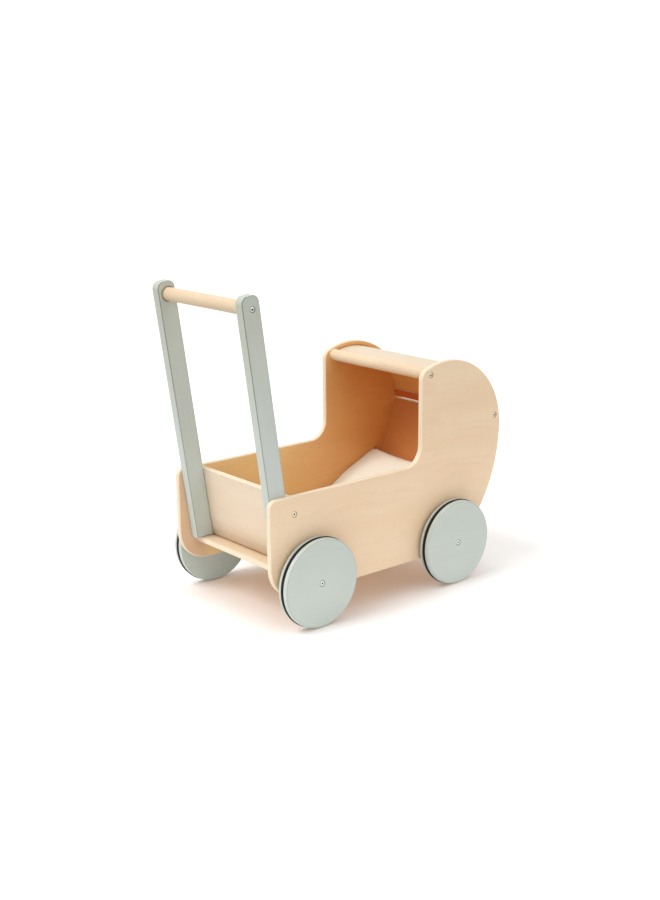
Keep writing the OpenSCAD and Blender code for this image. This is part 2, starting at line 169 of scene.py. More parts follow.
lamp_white = (1.0, 0.985, 0.96)
for name, height, turn, energy, spread in (
        ("key_light", 53, 17, 1.55, 30),
        ("fill_light", 15, -100, 0.3, 60)):
    height, turn = math.radians(height), math.radians(turn)
    light_place = Vector((-math.cos(height) * math.cos(turn),
                          math.cos(height) * math.sin(turn), math.sin(height)))
    light_data = bpy.data.lights.new(name, "SUN")
    light_data.energy = energy
    light_data.angle = math.radians(spread)
    light_data.color = lamp_white
    light = bpy.data.objects.new(name, light_data)
    light.rotation_euler = light_place.to_track_quat("Z", "Y").to_euler()
    bpy.context.scene.collection.objects.link(light)

# The glow lights the pram less strongly than the white that the backdrop and reflections show.
lighting_glow, shown_glow = 0.82, 1.05
world = bpy.data.worlds.new("studio_glow")
world.use_nodes = True
tree = world.node_tree
rays = add(tree, "ShaderNodeLightPath").outputs
seen = maths(tree, "MAXIMUM", rays["Is Camera Ray"], rays["Is Glossy Ray"])
strength = add(tree, "ShaderNodeMapRange", {"Value": seen, "To Min": lighting_glow, "To Max": shown_glow})
tree.links.new(strength.outputs[0], tree.nodes["Background"].inputs["Strength"])
tree.nodes["Background"].inputs["Color"].default_value = (1, 1, 1, 1)
bpy.context.scene.world = world
bpy.context.scene.view_settings.view_transform = "Standard"


# ---- The side panels ----
# Each is one birch plywood board, sawn to its profile, with its edges rounded over and sanded until
# the plies show, and then given a clear matt lacquer. Grooves inside hold the other boards.
def new_group(name, inputs, outputs):
    """A shader group: inputs give each socket's kind and default value, outputs its kind."""
    group = bpy.data.node_groups.new(name, "ShaderNodeTree")
    for label, (kind, value) in inputs.items():
        socket = group.interface.new_socket(name=label, in_out="INPUT", socket_type=kind)
        if value is not None:
            socket.default_value = value
    for label, kind in outputs.items():
        group.interface.new_socket(name=label, in_out="OUTPUT", socket_type=kind)
    return group, group.nodes.new("NodeGroupInput").outputs, group.nodes.new("NodeGroupOutput").inputs


def stretched_noise(tree, vector, cycles, detail=2.0):
    """Noise with its own number of cycles to the metre along each axis."""
    spread = add(tree, "ShaderNodeVectorMath", {0: vector, 1: cycles}, operation="MULTIPLY")
    noise = add(tree, "ShaderNodeTexNoise", {"Vector": spread.outputs[0], "Scale": 1.0, "Detail": detail})
    return noise.outputs["Fac"]


def mark_read(tree, name, output="Fac"):
    """One of the marks that a piece's own mesh carries for its material."""
    return add(tree, "ShaderNodeAttribute", attribute_name=name).outputs[output]


def raise_surface(tree, shader, height, strength, distance):
    """Lets a surface rise and fall with a height between 0 and 1, by a distance in metres."""
    bump = add(tree, "ShaderNodeBump", {"Height": height, "Strength": strength, "Distance": distance})
    tree.links.new(bump.outputs[0], shader.inputs["Normal"])


# Wood on coordinates that run along the grain, across it and through the board, in metres.
wood_group, wood_in, wood_out = new_group("wood_figure", {
    "Wood": ("NodeSocketVector", None),
    "Figure width": ("NodeSocketFloat", 0.012),
    "Figure waver": ("NodeSocketFloat", 4.0),
}, {"Cloud": "NodeSocketFloat", "Figure": "NodeSocketFloat", "Fibre": "NodeSocketFloat",
    "Fleck": "NodeSocketFloat", "Height": "NodeSocketFloat"})
tree = wood_group
cloud = stretched_noise(tree, wood_in["Wood"], (5, 17, 17), 3.0)
wood_axes = add(tree, "ShaderNodeSeparateXYZ", {0: wood_in["Wood"]})
ring_place = maths(tree, "ADD",
                   maths(tree, "DIVIDE", wood_axes.outputs["Y"], wood_in["Figure width"]),
                   maths(tree, "MULTIPLY", cloud, wood_in["Figure waver"]))
ring_phase = maths(tree, "FRACT", ring_place)
late_wood = maths(tree, "MULTIPLY", band(tree, ring_phase, 0.25, 0.88),
                  band(tree, ring_phase, 0.88, 1.0, 1.0, 0.0))
fade = band(tree, stretched_noise(tree, wood_in["Wood"], (4, 30, 30)), 0.35, 0.65)
fibre = stretched_noise(tree, wood_in["Wood"], (45, 1300, 1300), 3.0)
fleck = band(tree, stretched_noise(tree, wood_in["Wood"], (170, 2100, 2100), 1.0), 0.6, 0.72)
for label, value in (
        ("Cloud", cloud),
        ("Figure", maths(tree, "MULTIPLY", late_wood, fade)),
        ("Fibre", fibre),
        ("Fleck", fleck),
        ("Height", maths(tree, "SUBTRACT", fibre, fleck))):
    tree.links.new(value, wood_out[label])

# The layers that a rounded plywood edge shows, as light and dark plies with thin glue lines.
ply_group, ply_in, ply_out = new_group("ply_layers", {
    "Wood": ("NodeSocketVector", None),
    "Ply": ("NodeSocketFloat", 0.0013),
}, {"Cross ply": "NodeSocketFloat", "Glue line": "NodeSocketFloat"})
tree = ply_group
ply_axes = add(tree, "ShaderNodeSeparateXYZ", {0: ply_in["Wood"]})
ply_waver = maths(tree, "MULTIPLY", stretched_noise(tree, ply_in["Wood"], (35, 35, 0)), 0.3)
ply_count = maths(tree, "ADD", maths(tree, "DIVIDE", ply_axes.outputs["Z"], ply_in["Ply"]), ply_waver)
ply_phase = maths(tree, "FRACT", ply_count)
cross_ply = maths(tree, "FLOORED_MODULO", maths(tree, "FLOOR", ply_count), 2.0)
glue_line = maths(tree, "MAXIMUM", band(tree, ply_phase, 0.0, 0.12, 1.0, 0.0),
                  band(tree, ply_phase, 0.88, 1.0))
tree.links.new(cross_ply, ply_out["Cross ply"])
tree.links.new(glue_line, ply_out["Glue line"])

birch_ply, tree, shader = new_material("birch_ply", (0.88, 0.66, 0.44), 0.5)
shader.inputs["Coat Roughness"].default_value = 0.35
wood = mark_read(tree, "wood", "Vector")
grain = add(tree, "ShaderNodeGroup", {"Figure width": 0.019, "Figure waver": 7.0}, node_tree=wood_group)
plies = add(tree, "ShaderNodeGroup", node_tree=ply_group)
for user in (grain, plies):
    tree.links.new(wood, user.inputs["Wood"])

# The bare veneer, clouded, with darker late wood, bright fibres and short brown flecks.
veneer_dull, veneer_bright, late_wood_tan = (0.855, 0.625, 0.41), (0.9, 0.69, 0.475), (0.77, 0.505, 0.3)
fibre_gold, fleck_brown = (0.93, 0.74, 0.53), (0.64, 0.41, 0.24)
veneer = mixed(tree, band(tree, grain.outputs["Cloud"], 0.3, 0.7), veneer_dull, veneer_bright)
veneer = mixed(tree, maths(tree, "MULTIPLY", grain.outputs["Figure"], 0.22), veneer, late_wood_tan)
veneer = mixed(tree, band(tree, grain.outputs["Fibre"], 0.35, 0.7, 0.0, 0.25), veneer, fibre_gold)
veneer = mixed(tree, maths(tree, "MULTIPLY", grain.outputs["Fleck"], 0.3), veneer, fleck_brown)

# Faces that look into the cradle and the hood get a painted shade that stands for the shade and warm bounce
# light in there: gold at the rear and amber to the front, and red on those that lie deepest in the hood.
# Behind the rear board the painted shade is dull, and the ledge that the floor board makes there has none.
painted_shade_dull, painted_shade_gold = (0.9, 0.8, 0.74), (1.04, 0.99, 0.71)
painted_shade_amber, painted_shade_red = (0.93, 0.615, 0.29), (0.7, 0.22, 0.06)
board_axes = add(tree, "ShaderNodeSeparateXYZ", {0: own_place(tree)})
behind_board, ahead_board = (corner.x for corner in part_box("rear_board"))
ahead = band(tree, board_axes.outputs["X"], behind_board, ahead_board)
past_ledge_end = maths(tree, "GREATER_THAN", maths(tree, "ABSOLUTE", board_axes.outputs["Y"]),
                       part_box("rear_board")[1].y)
inside = maths(tree, "MULTIPLY", maths(tree, "MAXIMUM", ahead, past_ledge_end), mark_read(tree, "inside"))
tint = mixed(tree, band(tree, board_axes.outputs["X"], -0.05, 0.17), painted_shade_gold, painted_shade_amber)
tint = mixed(tree, ahead, painted_shade_dull, tint)
tint = mixed(tree, band(tree, inside, 1.0, 2.0), tint, painted_shade_red)

# Some boards are of paler veneer, and the roof's outer face is greyer.
plain_tint, pale_tint, roof_tint = (1.0, 1.0, 1.0), (0.9, 0.97, 1.08), (0.83, 0.9, 0.97)
tone = mark_read(tree, "tone")
paler = mixed(tree, tone, plain_tint, pale_tint)
paler = mixed(tree, band(tree, tone, 1.0, 2.0), paler, roof_tint)
veneer = mixed(tree, 1.0, veneer, paler, "MULTIPLY")
# Mixes the painted shade into the veneer on the faces that look inside.
veneer = mixed(tree, maths(tree, "MINIMUM", inside, 1.0), veneer, mixed(tree, 1.0, veneer, tint, "MULTIPLY"))

# The sanded edges show their plies. The walls of drilled holes are rough, and painted dark as painted shade.
long_ply, short_ply, glue_brown = (0.91, 0.79, 0.61), (0.85, 0.69, 0.49), (0.5, 0.32, 0.18)
edge_fibre, hollow_painted_shade_brown = (0.96, 0.86, 0.69), (0.42, 0.2, 0.08)
layers = mixed(tree, plies.outputs["Cross ply"], long_ply, short_ply)
layers = mixed(tree, maths(tree, "MULTIPLY", plies.outputs["Glue line"], 0.65), layers, glue_brown)
layers = mixed(tree, band(tree, grain.outputs["Fibre"], 0.35, 0.7, 0.0, 0.2), layers, edge_fibre)
bare_edge = band(tree, mark_read(tree, "rim"), 0.12, 0.3)
drilled = mark_read(tree, "drilled")
birch = mixed(tree, drilled, mixed(tree, bare_edge, veneer, layers), hollow_painted_shade_brown)
tree.links.new(birch, shader.inputs["Base Color"])
sheen = maths(tree, "ADD", band(tree, grain.outputs["Cloud"], 0.2, 0.8, 0.44, 0.54),
              maths(tree, "MULTIPLY", bare_edge, 0.08))
tree.links.new(maths(tree, "MAXIMUM", sheen, drilled), shader.inputs["Roughness"])
tree.links.new(band(tree, drilled, 0.0, 1.0, 0.15, 0.0), shader.inputs["Coat Weight"])
raise_surface(tree, shader, grain.outputs["Height"], 0.35, 0.00012)


def cad_mesh(node):
    """A CAD node's mesh, with its loose triangles joined."""
    bm = bmesh.new()
    bm.from_mesh(nodes[node].data)
    bmesh.ops.remove_doubles(bm, verts=bm.verts, dist=1e-6)
    return bm


def settle(piece):
    """Bakes a piece's modifiers into a plain mesh."""
    evaluated = piece.evaluated_get(bpy.context.evaluated_depsgraph_get())
    mesh = bpy.data.meshes.new_from_object(evaluated)
    old = piece.data
    piece.modifiers.clear()
    piece.data = mesh
    bpy.data.meshes.remove(old)
    mesh.name = piece.name


def mark_faces(mesh, name, values):
    """Stores a number on each face for the materials."""
    mesh.attributes.new(name, "FLOAT", "FACE").data.foreach_set("value", values)


def mark_points(mesh, name, vectors):
    """Stores a vector on each point for the materials."""
    places = np.array(vectors, np.float32).ravel()
    mesh.attributes.new(name, "FLOAT_VECTOR", "POINT").data.foreach_set("vector", places)


cradle_middle = (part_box("floor_board")[0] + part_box("hood_roof")[1]) / 2


def mark_inside(mesh, lean, how_deep=1.0):
    """Marks the broad faces that look into the cradle and the hood, by how deep in it they lie, for the
    birch's painted shade.
    """
    inside = [how_deep * (edge < 0.1 and p.normal.dot(cradle_middle - p.center) > 0)
              for edge, p in zip(lean, mesh.polygons)]
    mark_faces(mesh, "inside", inside)
    return inside


def mark_wood(mesh, along, through, face, how_deep=1.0, tone=0.0):
    """Stores each point's place along, across and through the wood, how far a face leans from the
    two broad ones, whether it looks inside, and how pale the board is."""
    across = through.cross(along).normalized()
    axes = np.array([along, across, through])
    mark_points(mesh, "wood", np.array([v.co for v in mesh.vertices]) @ axes.T - (0, 0, face))
    lean = [1 - abs(p.normal.dot(through)) for p in mesh.polygons]
    mark_faces(mesh, "rim", lean)
    mark_inside(mesh, lean, how_deep)
    mark_faces(mesh, "tone", [tone] * len(lean))


def flat_face(bm, through, sign):
    """The triangles of a board's flat face at its highest or lowest place along through."""
    place = max(sign * v.co.dot(through) for v in bm.verts)
    return [f for f in bm.faces if sign * f.normal.dot(through) > 0.999
            and all(sign * v.co.dot(through) > place - 1e-5 for v in f.verts)]


def rim_length(rim):
    """The way round a closed row of corners."""
    return sum((a.co - b.co).length for a, b in zip(rim, rim[1:] + rim[:1]))


def closed_rims(patch):
    """The closed rows of corners that bound a patch of faces, the longest row first."""
    members = set(patch)
    following = {}
    for face in patch:
        for loop in face.loops:
            if sum(other in members for other in loop.edge.link_faces) == 1:
                following[loop.vert] = loop.link_loop_next.vert
    rims = []
    while following:
        row = [next(iter(following))]
        while row[-1] in following:
            row.append(following.pop(row[-1]))
        rims.append(row[:-1])
    return sorted(rims, key=rim_length, reverse=True)


def inward(places, normal):
    """For each corner of an outline, the step that moves both its sides in by one unit."""
    steps = []
    for before, here, after in zip(places[-1:] + places[:-1], places, places[1:] + places[:1]):
        first = normal.cross(here - before).normalized()
        second = normal.cross(after - here).normalized()
        steps.append((first + second) / (1 + first.dot(second)))
    return steps


def fill_flat(bm, rims, normal):
    """Fills a flat face with triangles between its outline, which comes first, and its holes."""
    across = normal.orthogonal().normalized()
    up = normal.cross(across)
    corners = [v for row in rims for v in row]
    places = [Vector((v.co.dot(across), v.co.dot(up))) * 1000 for v in corners]
    outlines = []
    for row in rims:
        outline = list(range(len(corners)))[sum(map(len, outlines)):][:len(row)]
        turn = sum(places[a].cross(places[b]) for a, b in zip(outline, outline[1:] + outline[:1]))
        outlines.append(outline if turn > 0 else outline[::-1])
    _, _, triangles, sources, _, owners = delaunay_2d_cdt(places, [], outlines, 1, 1e-5)
    for triangle, owner in zip(triangles, owners):
        if owner == [0]:
            bm.faces.new([corners[sources[i][0]] for i in triangle])


# The longest way round a screw's hole, and round a socket for the grip's end.
screw_hole_rim, socket_rim = 0.04, 0.07


def finish_holes(bm, rims, countersink):
    """Marks the walls of screw holes as drilled. A countersink does so for sockets too, and widens
    their mouths by that much."""
    drilled = bm.faces.layers.float.new("drilled")
    for rim in rims:
        around = rim_length(rim)
        if around < (socket_rim if countersink else screw_hole_rim):
            for face in {f for v in rim for f in v.link_faces}:
                face[drilled] = 1.0
        if countersink and screw_hole_rim < around < socket_rim:
            middle = sum((v.co for v in rim), Vector()) / len(rim)
            for v in rim:
                v.co += (v.co - middle).normalized() * countersink


def rounded_edge(bm, high, low, through, round_over):
    """The wall round a board between its two outlines, rounded over along both edges."""
    thick = abs(through.dot(high[0] - low[0]))
    steps_round = 4
    turns = [math.pi / 2 * k / steps_round for k in range(steps_round + 1)]
    side_of = [(round_over * (1 - math.sin(t)), round_over * (1 - math.cos(t))) for t in turns]
    profile = side_of[::-1] + [(thick - down, inset) for down, inset in side_of]
    steps_in = inward(high, through)
    rows = [[bm.verts.new(p + (q - p) * down / thick + step * inset)
             for p, q, step in zip(high, low, steps_in)] for down, inset in profile]
    for row, following in zip(rows, rows[1:]):
        for i in range(len(row)):
            j = (i + 1) % len(row)
            bm.faces.new((row[i], following[i], following[j], row[j]))
    return rows[0], rows[-1]


def eased_board(name, node, material, along, round_over, how_deep=1.0, tone=0.0, countersink=0.0):
    """A copy of a CAD board with its outline rounded over, and its holes and grooves kept."""
    bm = cad_mesh(node)
    through = max(bm.faces, key=lambda f: f.calc_area()).normal.copy()
    top, bottom = flat_face(bm, through, 1), flat_face(bm, through, -1)
    top_rims, bottom_rims = closed_rims(top), closed_rims(bottom)

    def off_line(p, q):
        """How far q lies from the line through p across the board."""
        return (q - p - through * through.dot(q - p)).length

    high = [v.co.copy() for v in top_rims[0]]
    low = [min((v.co for v in bottom_rims[0]), key=lambda q: off_line(p, q)).copy() for p in high]
    flat = set(top) | set(bottom)
    walls = {f for e in {e for v in top_rims[0] for e in v.link_edges} for f in e.link_faces} - flat
    reached = list(walls)
    for face in reached:
        joined = {f for e in face.edges for f in e.link_faces} - flat - walls
        walls |= joined
        reached.extend(joined)
    bmesh.ops.delete(bm, geom=[f for f in bm.faces if f in flat or f in walls], context="FACES")
    finish_holes(bm, top_rims[1:] + bottom_rims[1:], countersink)
    first_row, last_row = rounded_edge(bm, high, low, through, round_over)
    fill_flat(bm, [first_row, *top_rims[1:]], through)
    fill_flat(bm, [last_row, *bottom_rims[1:]], through)
    bmesh.ops.recalc_face_normals(bm, faces=bm.faces)
    piece = mesh_object(name, bm, material)
    piece.modifiers.new("even_shade", "WEIGHTED_NORMAL").keep_sharp = True
    settle(piece)
    lowest = min(v.co.dot(through) for v in piece.data.vertices)
    mark_wood(piece.data, Vector(along), through, lowest, how_deep, tone)
    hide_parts(node)
    return piece


panel_round_over = 0.0022
for side in ("left", "right"):
    panel = eased_board("board_side_" + side, "side_panel_" + side, birch_ply, (1, 0, 0), panel_round_over)
    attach(panel, "chassis")


# ---- The boards between the panels ----
# The floor board, the rear board, the front board and the hood's batten are the same birch plywood,
# lightly rounded over. They are let into grooves in the panels, or screwed on from outside.
shadow_gap = 0.0018
front_rise, front_top_reach = 0.0013, 0.003
# how_deep sets how deep a painted shade each board's inner faces get.
for name, node, round_over, how_deep, tone in (
        ("board_floor", "floor_board", 0.0016, 1.0, 0.8),
        ("board_rear", "rear_board", 0.0013, 1.0, 1.0),
        ("board_front", "front_board", 0.0013, 1.5, 0.4),
        ("board_batten", "hood_front_batten", 0.0012, 2.0, 0.0)):
    board = eased_board(name, node, birch_ply, (0, 1, 0), round_over, how_deep, tone)
    mesh = board.data
    if name == "board_rear":
        # Its foot is cut away behind, so that a thin gap shows above the ledge. The gap's top is marked as
        # the walls of drilled holes are, which gives it their painted shade.
        gap_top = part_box(node)[0].z + shadow_gap
        low_corners = [v.co for v in mesh.vertices if v.co.z < gap_top]
        foremost = max(corner.x for corner in low_corners)
        for corner in low_corners:
            if corner.x < foremost - round_over * 0.9:
                corner.z = gap_top
        for face in mesh.polygons:
            highest = max(mesh.vertices[i].co.z for i in face.vertices)
            if highest < gap_top + 1e-5 and face.center.x < foremost - round_over * 0.7:
                mesh.attributes["drilled"].data[face.index].value = 1.0
    if name == "board_front":
        # Its top edge stands a little higher than in the CAD.
        for v in mesh.vertices:
            v.co.z += front_rise * (v.co.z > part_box(node)[1].z - front_top_reach)
    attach(board, "chassis")


# ---- The hood's roof ----
# A thin birch plywood sheet bent to the hood's curve, so its grain runs from side to side. It sits
# in curved grooves in the side panels, and its ends meet the nose rail and the front batten.
def plain_copy(name, node, material):
    """A copy of a CAD piece whose shape is right but whose wood needs its own marks."""
    piece = mesh_object(name, cad_mesh(node), material)
    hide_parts(node)
    return piece


# The sheet is bent round an axis that runs from side to side through this x and z.
bend_centre = np.array([0.1307, 0.236])
roof = plain_copy("sheet_roof", "hood_roof", birch_ply)
roof_points = np.array([v.co for v in roof.data.vertices])
from_centre = roof_points[:, [0, 2]] - bend_centre
bend_radius = np.hypot(*from_centre.T)
bend_angle = np.arctan2(from_centre[:, 1], from_centre[:, 0])
round_bend = bend_angle * bend_radius.mean()
mark_points(roof.data, "wood", np.stack([roof_points[:, 1], round_bend, bend_radius - bend_radius.min()], 1))
roof_rim = []
for face in roof.data.polygons:
    out = Vector((face.center.x - bend_centre[0], 0, face.center.z - bend_centre[1])).normalized()
    roof_rim.append(1 - abs(face.normal.dot(out)))
mark_faces(roof.data, "rim", roof_rim)
# The roof's inner faces get the birch's painted shade, and its outer face the greyer tone.
mark_faces(roof.data, "tone", [0.0 if inner else 2.0 for inner in mark_inside(roof.data, roof_rim)])
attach(roof, "chassis")


# ---- The nose rail and the grip ----
# Both are turned from solid beech, whose grain shows as short fine flecks along the rod, and are
# finished like the boards. Screws through the panels and the bars hold their ends.
beech_dull, beech_bright = (0.76, 0.58, 0.39), (0.82, 0.66, 0.46)
beech_late_wood, beech_fleck = (0.70, 0.46, 0.27), (0.56, 0.34, 0.19)
beech, tree, shader = new_material("beech", (0.82, 0.62, 0.42), 0.48)
shader.inputs["Coat Weight"].default_value = 0.15
shader.inputs["Coat Roughness"].default_value = 0.35
grain = add(tree, "ShaderNodeGroup", {"Figure width": 0.006, "Figure waver": 2.5}, node_tree=wood_group)
tree.links.new(mark_read(tree, "wood", "Vector"), grain.inputs["Wood"])
rod = mixed(tree, band(tree, grain.outputs["Cloud"], 0.3, 0.7), beech_dull, beech_bright)
rod = mixed(tree, maths(tree, "MULTIPLY", grain.outputs["Figure"], 0.35), rod, beech_late_wood)
rod = mixed(tree, maths(tree, "MULTIPLY", grain.outputs["Fleck"], 0.4), rod, beech_fleck)
tree.links.new(rod, shader.inputs["Base Color"])
tree.links.new(band(tree, grain.outputs["Cloud"], 0.2, 0.8, 0.42, 0.52), shader.inputs["Roughness"])
raise_surface(tree, shader, grain.outputs["Height"], 0.35, 0.00012)

for name, node in (("rod_nose_rail", "hood_nose_rail"), ("rod_grip", "handle_grip")):
    rod_piece = plain_copy(name, node, beech)
    mark_wood(rod_piece.data, Vector((0, 1, 0)), Vector((0, 0, 1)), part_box(node)[0].z)
    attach(rod_piece, "chassis")


# ---- The handle bars ----
# Two solid wooden bars lean back on the floor board's ledge, behind the rear board. They have lightly
# rounded edges, and a thin matt sage paint that lets a little of the grain through.
sage_paint, tree, shader = new_material("sage_paint", (0.55, 0.6, 0.54), 0.55)
wood = mark_read(tree, "wood", "Vector")
rim = mark_read(tree, "rim")
bar_axes = add(tree, "ShaderNodeSeparateXYZ", {0: own_place(tree)})
grain = add(tree, "ShaderNodeGroup", {"Figure width": 0.009, "Figure waver": 3.0}, node_tree=wood_group)
tree.links.new(wood, grain.inputs["Wood"])

# The paint over the grain, rubbed thin here and there along its edges, and darkened and warmed up the handle
# as painted shade.
sage_dull, sage_bright, sage_late_wood = (0.54, 0.595, 0.55), (0.585, 0.635, 0.59), (0.45, 0.49, 0.43)
sage_fibre, rubbed_sage, painted_shade_up_handle = (0.62, 0.66, 0.6), (0.72, 0.7, 0.6), (0.97, 0.94, 0.89)
coat = mixed(tree, band(tree, grain.outputs["Cloud"], 0.3, 0.7), sage_dull, sage_bright)
coat = mixed(tree, maths(tree, "MULTIPLY", grain.outputs["Figure"], 0.12), coat, sage_late_wood)
coat = mixed(tree, band(tree, grain.outputs["Fibre"], 0.35, 0.7, 0.0, 0.2), coat, sage_fibre)
rub = maths(tree, "MULTIPLY", band(tree, rim, 0.1, 0.3),
            band(tree, stretched_noise(tree, wood, (60, 240, 240), 4.0), 0.5, 0.72, 0.0, 0.4))
coat = mixed(tree, rub, coat, rubbed_sage)
coat = mixed(tree, band(tree, bar_axes.outputs["Z"], 0.24, 0.45), coat, painted_shade_up_handle, "MULTIPLY")

# A painted shade line, thin and dark, where a flat face starts to round, strongest along the bars' rear
# corners and towards the grip. The walls of drilled holes are painted dark as painted shade too.
painted_arris_shade_grey, painted_corner_shade_grey, hollow_painted_shade_grey = (0.24, 0.25, 0.22), (0.2, 0.21, 0.18), (0.08, 0.085, 0.075)
line_start = band(tree, rim, 0.004, 0.015)
painted_arris_line = maths(tree, "MULTIPLY", line_start, band(tree, rim, 0.03, 0.1, 1.0, 0.0))
coat = mixed(tree, maths(tree, "MULTIPLY", painted_arris_line, 0.7), coat, painted_arris_shade_grey)
facing = add(tree, "ShaderNodeNewGeometry").outputs["True Normal"]
facing_axes = add(tree, "ShaderNodeSeparateXYZ", {0: facing})
rearward = band(tree, facing_axes.outputs["X"], -0.15, -0.05, 1.0, 0.0)
on_bar = mark_read(tree, "tone")
rear_corner = maths(tree, "MULTIPLY", maths(tree, "MULTIPLY", line_start, on_bar),
                    maths(tree, "MULTIPLY", band(tree, rim, 0.2, 0.35, 1.0, 0.0), rearward))
painted_corner_shade = maths(tree, "MULTIPLY", rear_corner, band(tree, bar_axes.outputs["Z"], 0.22, 0.36, 0.35, 0.75))
coat = mixed(tree, painted_corner_shade, coat, painted_corner_shade_grey)
coat = mixed(tree, mark_read(tree, "drilled"), coat, hollow_painted_shade_grey)
tree.links.new(coat, shader.inputs["Base Color"])
tree.links.new(band(tree, grain.outputs["Cloud"], 0.2, 0.8, 0.5, 0.6), shader.inputs["Roughness"])
raise_surface(tree, shader, grain.outputs["Height"], 0.25, 0.0001)

bar_round_over, socket_countersink = 0.0017, 0.001
handle_tilt = math.radians(8)
up_bar = (-math.sin(handle_tilt), 0, math.cos(handle_tilt))
for side in ("left", "right"):
    bar = eased_board("bar_" + side, "handle_bar_" + side, sage_paint, up_bar, bar_round_over,
                      tone=1.0, countersink=socket_countersink)
    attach(bar, "chassis")


# ---- The wheels ----
# Each wheel is a thick wooden disc in the bars' sage paint, turned with rounded edges and a groove
# in its rim. A black rubber cord lies in the groove, and a nylon bush runs through the middle.
def lathe(name, profile, centre, side, material):
    """Turns a closed outline of (radius, distance out from the wheel's inner face) about the axle."""
    bm = bmesh.new()
    rows = []
    steps_round = 144
    for step in range(steps_round):
        angle = 2 * math.pi * step / steps_round
        rows.append([bm.verts.new((
            centre.x + r * math.cos(angle), side * (centre.y + out), centre.z + r * math.sin(angle)))
            for r, out in profile])
    for row, following in zip(rows, rows[1:] + rows[:1]):
        for a in range(len(profile)):
            b = (a + 1) % len(profile)
            bm.faces.new((row[a], row[b], following[b], following[a]))
    bmesh.ops.recalc_face_normals(bm, faces=bm.faces)
    return mesh_object(name, bm, material)


def arc(centre, radius, start, end, steps):
    """Points of a round stretch in a turned outline, with its angles in degrees."""
    angles = [math.radians(start + (end - start) * i / steps) for i in range(steps + 1)]
    return [(centre[0] + radius * math.cos(a), centre[1] + radius * math.sin(a)) for a in angles]


clean_black, dusty_black = (0.009, 0.009, 0.01), (0.035, 0.033, 0.031)
tyre_rubber, tree, shader = new_material("tyre_rubber", (0.01, 0.01, 0.011), 0.7)
shader.inputs["Specular IOR Level"].default_value = 0.25
rubber_place = own_place(tree)
dust = stretched_noise(tree, rubber_place, (60, 60, 60), 4.0)
tree.links.new(mixed(tree, band(tree, dust, 0.45, 0.75, 0.0, 0.35), clean_black, dusty_black),
               shader.inputs["Base Color"])
tree.links.new(band(tree, dust, 0.3, 0.7, 0.65, 0.82), shader.inputs["Roughness"])
raise_surface(tree, shader, stretched_noise(tree, rubber_place, (1500, 1500, 1500)), 0.2, 0.0001)

tyre_cord_r = 0.003
wheel_edge_r = 0.0026
groove_r = tyre_cord_r + 0.0001
bush_clearance = 0.00002
for place in ("rear_left", "rear_right", "front_left", "front_right"):
    side = 1 if place.endswith("left") else -1
    body = place + "_wheel"
    low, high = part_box("wheel_" + place)
    radius = (high.x - low.x) / 2
    thick = high.y - low.y
    tyre_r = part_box("tyre_" + place)[1].z - (low.z + high.z) / 2 - tyre_cord_r
    centre = Vector(((low.x + high.x) / 2, min(abs(low.y), abs(high.y)), (low.z + high.z) / 2))
    bush_low, bush_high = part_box("bush_" + place)
    bore_r = (bush_high.x - bush_low.x) / 2 + bush_clearance
    outline = [(bore_r, 0.0)]
    outline += arc((radius - wheel_edge_r, wheel_edge_r), wheel_edge_r, -90, 0, 6)
    outline += [(radius, thick / 2 - groove_r)]
    outline += arc((tyre_r, thick / 2), groove_r, 270, 90, 12)
    outline += [(radius, thick / 2 + groove_r)]
    outline += arc((radius - wheel_edge_r, thick - wheel_edge_r), wheel_edge_r, 0, 90, 6)
    outline += [(bore_r, thick)]
    disc = lathe("disc_" + place, outline, centre, side, sage_paint)
    mark_wood(disc.data, Vector((1, 0, 0)), Vector((0, 1, 0)), low.y)
    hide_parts("wheel_" + place)
    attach(disc, body)
    cord_outline = arc((tyre_r, thick / 2), tyre_cord_r, 0, 345, 23)
    ring = lathe("ring_" + place, cord_outline, centre, side, tyre_rubber)
    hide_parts("tyre_" + place)
    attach(ring, body)


# ---- The axles, bushes and spacers ----
# Bright steel rods cross both side panels, nylon bushes turn on them inside the wheels, and nylon
# spacers keep the wheels off the panels. They are plain turned pieces, nearly hidden.
dull_steel, bright_steel = (0.52, 0.52, 0.53), (0.68, 0.68, 0.69)
axle_steel, tree, shader = new_material("axle_steel", (0.6, 0.6, 0.61), 0.3, 1.0)
drawn = stretched_noise(tree, own_place(tree), (900, 12, 900), 3.0)
tree.links.new(mixed(tree, drawn, dull_steel, bright_steel), shader.inputs["Base Color"])
tree.links.new(band(tree, drawn, 0.3, 0.7, 0.22, 0.38), shader.inputs["Roughness"])

dull_nylon, bright_nylon = (0.80, 0.79, 0.74), (0.87, 0.86, 0.83)
nylon, tree, shader = new_material("nylon", (0.84, 0.83, 0.79), 0.45)
shader.inputs["Subsurface Weight"].default_value = 0.15
shader.inputs["Subsurface Radius"].default_value = (0.002, 0.002, 0.0018)
cast = stretched_noise(tree, own_place(tree), (400, 400, 400), 3.0)
tree.links.new(mixed(tree, cast, dull_nylon, bright_nylon), shader.inputs["Base Color"])
tree.links.new(band(tree, cast, 0.3, 0.7, 0.38, 0.52), shader.inputs["Roughness"])

for node in nodes:
    if node.startswith(("axle_", "bush_")) and node != "axle_screws":
        turned_of = nylon if node == "axle_spacers" or node.startswith("bush_") else axle_steel
        nodes[node].data.materials.clear()
        nodes[node].data.materials.append(turned_of)


